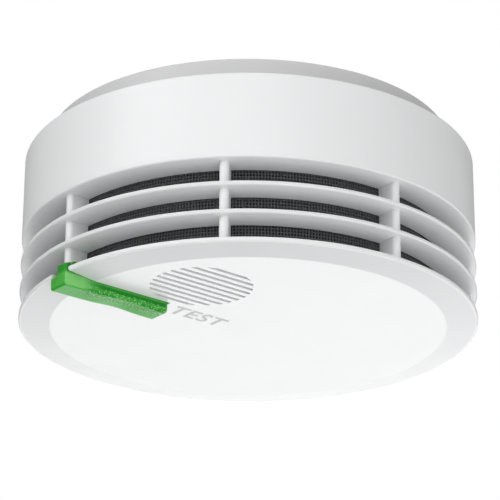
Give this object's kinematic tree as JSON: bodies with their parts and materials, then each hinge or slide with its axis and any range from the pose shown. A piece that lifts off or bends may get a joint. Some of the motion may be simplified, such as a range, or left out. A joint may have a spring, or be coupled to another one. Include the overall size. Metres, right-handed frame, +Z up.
{
  "type": "smoke detector",
  "caption": "Round ceiling smoke alarm with louvred smoke inlets, sounder grille, translucent rocker test button and twist-off bayonet base.",
  "frame": {"origin": "centre of the face that lies on the ceiling", "axes": "+Z up into the ceiling, along the alarm's round axis; the alarm hangs towards -Z; -Y is the side with the sounder grille"},
  "size_m": [0.117, 0.117, 0.0541],
  "materials": {
    "white_shell": "fine moulded grain, satin",
    "white_base": "moulded, satin",
    "screen_mesh": "fine dark insect screen",
    "clear_green": "translucent tinted light guide",
    "inner_white": "moulded, matt",
    "label_paper": "blank printed film",
    "board_green": "solder mask on glass-fibre board",
    "zinc_steel": "zinc-plated",
    "cell_wrap": "shrink sleeve",
    "nickel_strip": "nickel-plated strip",
    "black_plastic": "moulded, matt",
    "can_aluminium": "drawn can",
    "ferrite": "sintered",
    "led_clear": "tinted epoxy",
    "chamber_black": "light-absorbing matt",
    "foam_grey": "closed-cell foam",
    "brass_disc": "rolled sheet",
    "ceramic_white": "silvered ceramic"
  },
  "bodies": {
    "base": {"mounting_base": "white_base"},
    "alarm_head": {"upper_shell": "white_shell", "louvre_ring_upper": "white_shell", "louvre_ring_lower": "white_shell", "louvre_posts": "white_shell", "front_cover": "white_shell", "insect_screen": "screen_mesh", "switch_body": "black_plastic", "rear_housing": "inner_white", "module_bay_cover": "inner_white", "rating_label": "label_paper", "circuit_board": "board_green", "board_screws": "zinc_steel", "battery_cell": "cell_wrap", "battery_cradle": "black_plastic", "battery_tabs": "nickel_strip", "microcontroller": "black_plastic", "capacitors": "can_aluminium", "inductor": "ferrite", "module_header": "black_plastic", "status_led": "led_clear", "infrared_led": "led_clear", "photodiode": "led_clear", "chamber_base": "chamber_black", "chamber_labyrinth": "chamber_black", "sounder_gasket": "foam_grey", "sounder_horn": "black_plastic", "piezo_disc": "brass_disc", "piezo_ceramic": "ceramic_white", "sounder_contacts": "zinc_steel"},
    "test_button": {"test_button": "clear_green"},
    "switch_plunger": {"switch_plunger": "inner_white"}
  },
  "joints": [
    {"name": "bayonet_twist", "type": "hinge", "parent": "base", "child": "alarm_head", "pos_m": [0, 0, 0], "axis": [0, 0, -1], "range_deg": [0, 17]},
    {"name": "button_press", "type": "hinge", "parent": "alarm_head", "child": "test_button", "pos_m": [-0.03691, -0.02989, -0.0486], "axis": [0.6293, -0.7771, 0], "range_deg": [0, 2.4], "stiffness_Nm_per_rad": 0.5},
    {"name": "plunger_slide", "type": "slide", "parent": "alarm_head", "child": "switch_plunger", "axis": [0, 0, 1], "range_m": [0, 0.00062]}
  ],
  "couplings": [
    {"joint": "plunger_slide", "follows": "button_press", "m_per_rad": 0.0145}
  ]
}
